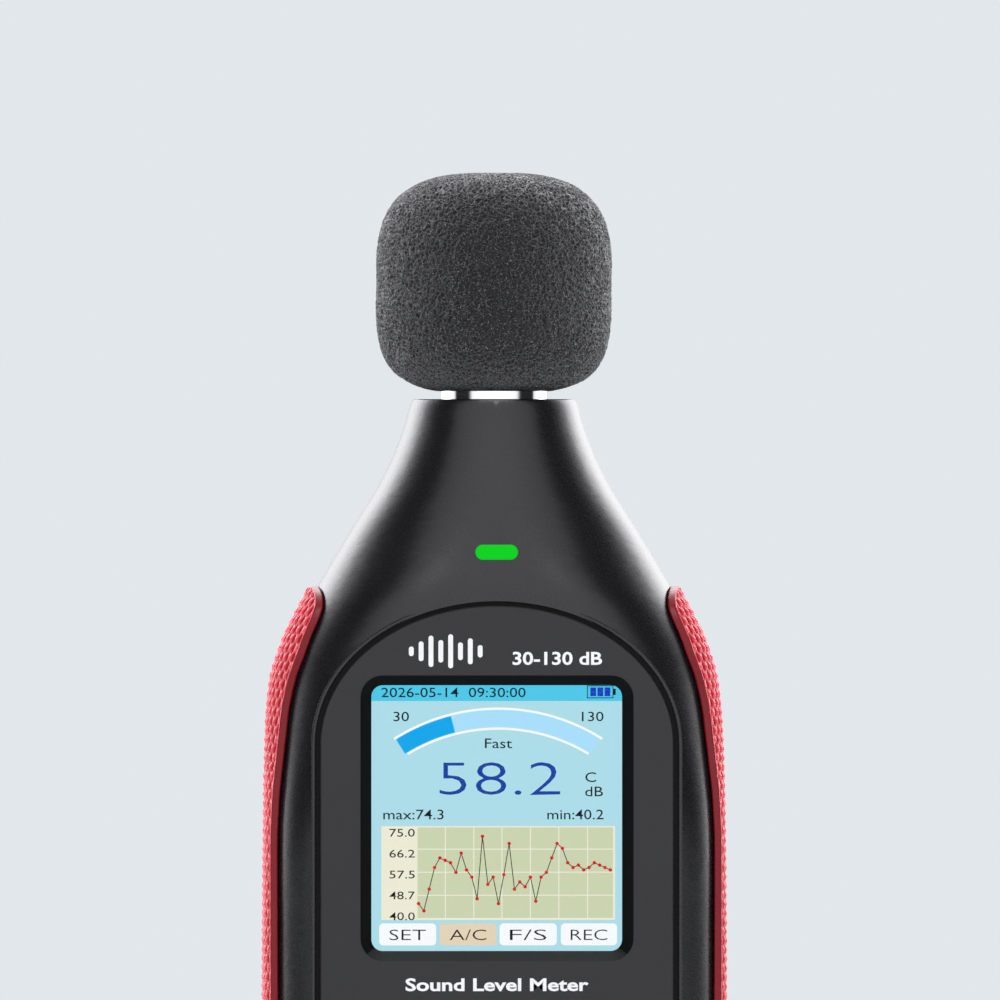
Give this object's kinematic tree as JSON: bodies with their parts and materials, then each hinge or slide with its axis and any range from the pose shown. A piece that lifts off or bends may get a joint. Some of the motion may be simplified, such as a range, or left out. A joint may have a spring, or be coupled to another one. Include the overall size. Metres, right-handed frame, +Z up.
{
  "type": "sound level meter",
  "caption": "Hand-held sound level meter with a foam windscreen, colour display, soft keys, red side grips and a hinged battery door at the back.",
  "frame": {"origin": "centre of the underside of the case", "axes": "+Z up through the windscreen, the display faces -Y, +X is to the right of a person facing the display"},
  "size_m": [0.0688, 0.0355, 0.2],
  "materials": {
    "case_black": "satin moulded black",
    "panel_grey": "fine matte charcoal",
    "grip_red": "knurled soft red rubber",
    "foam_black": "open-cell charcoal foam",
    "chrome": "polished",
    "window_clear": "clear",
    "lcd_glass": "lit display stack",
    "white_plastic": "light guide",
    "led_green": "translucent green lens",
    "key_rubber": "moulded silicone",
    "board_green": "solder mask",
    "chip_black": "moulded",
    "steel": "plated",
    "brass": "turned",
    "flex_amber": "polyimide film",
    "cell_metal": "printed sleeve over a steel can",
    "pad_foam": "closed-cell foam",
    "ceramic_white": "insulating sleeve"
  },
  "bodies": {
    "case": {"front_shell": "case_black", "back_shell": "case_black", "left_grip": "grip_red", "right_grip": "grip_red", "faceplate": "panel_grey", "case_screws": "steel", "tripod_bush": "brass", "window_adhesive": "pad_foam", "lcd_window": "window_clear", "lcd_panel": "lcd_glass", "lcd_backlight": "white_plastic", "lcd_cushion": "pad_foam", "lcd_flex": "flex_amber", "lcd_connector": "white_plastic", "led_light_pipe": "led_green", "power_led": "white_plastic", "main_board": "board_green", "board_screws": "steel", "processor_chip": "chip_black", "memory_chip": "chip_black", "clock_crystal": "steel", "amplifier_chip": "chip_black", "capacitors": "steel", "clock_cell_holder": "chip_black", "clock_cell_clip": "steel", "clock_cell": "steel", "key_switches": "steel", "mic_tube": "chrome", "mic_nut": "brass", "mic_grid": "chrome", "mic_capsule": "steel", "mic_sleeve": "ceramic_white", "mic_board": "board_green", "mic_preamp_chip": "chip_black", "mic_contact": "brass", "mic_flex": "flex_amber", "mic_connector": "white_plastic", "battery_left": "cell_metal", "battery_middle": "cell_metal", "battery_right": "cell_metal", "battery_tray": "chip_black", "battery_springs": "steel", "battery_contacts": "steel", "door_hinge_pin": "steel"},
    "windscreen": {"windscreen": "foam_black"},
    "battery_door": {"battery_door": "case_black", "battery_door_pad": "pad_foam"},
    "set_button": {"set_key": "key_rubber", "set_plunger": "chip_black"},
    "weighting_button": {"weighting_key": "key_rubber", "weighting_plunger": "chip_black"},
    "response_button": {"response_key": "key_rubber", "response_plunger": "chip_black"},
    "record_button": {"record_key": "key_rubber", "record_plunger": "chip_black"},
    "power_button": {"power_key": "key_rubber", "power_plunger": "chip_black"},
    "hold_button": {"hold_key": "key_rubber", "hold_plunger": "chip_black"}
  },
  "joints": [
    {"name": "windscreen_pull", "type": "slide", "parent": "case", "child": "windscreen", "axis": [0, 0, 1], "range_m": [0, 0.024]},
    {"name": "battery_door_hinge", "type": "hinge", "parent": "case", "child": "battery_door", "pos_m": [0, 0.0154, 0.015], "axis": [-1, 0, 0], "range_deg": [0, 95]},
    {"name": "set_press", "type": "slide", "parent": "case", "child": "set_button", "axis": [0, 1, 0], "range_m": [0, 0.0006], "stiffness_N_per_m": 1500, "springref_m": -0.0004},
    {"name": "weighting_press", "type": "slide", "parent": "case", "child": "weighting_button", "axis": [0, 1, 0], "range_m": [0, 0.0006], "stiffness_N_per_m": 1500, "springref_m": -0.0004},
    {"name": "response_press", "type": "slide", "parent": "case", "child": "response_button", "axis": [0, 1, 0], "range_m": [0, 0.0006], "stiffness_N_per_m": 1500, "springref_m": -0.0004},
    {"name": "record_press", "type": "slide", "parent": "case", "child": "record_button", "axis": [0, 1, 0], "range_m": [0, 0.0006], "stiffness_N_per_m": 1500, "springref_m": -0.0004},
    {"name": "power_press", "type": "slide", "parent": "case", "child": "power_button", "axis": [0, 1, 0], "range_m": [0, 0.0006], "stiffness_N_per_m": 1500, "springref_m": -0.0004},
    {"name": "hold_press", "type": "slide", "parent": "case", "child": "hold_button", "axis": [0, 1, 0], "range_m": [0, 0.0006], "stiffness_N_per_m": 1500, "springref_m": -0.0004}
  ]
}
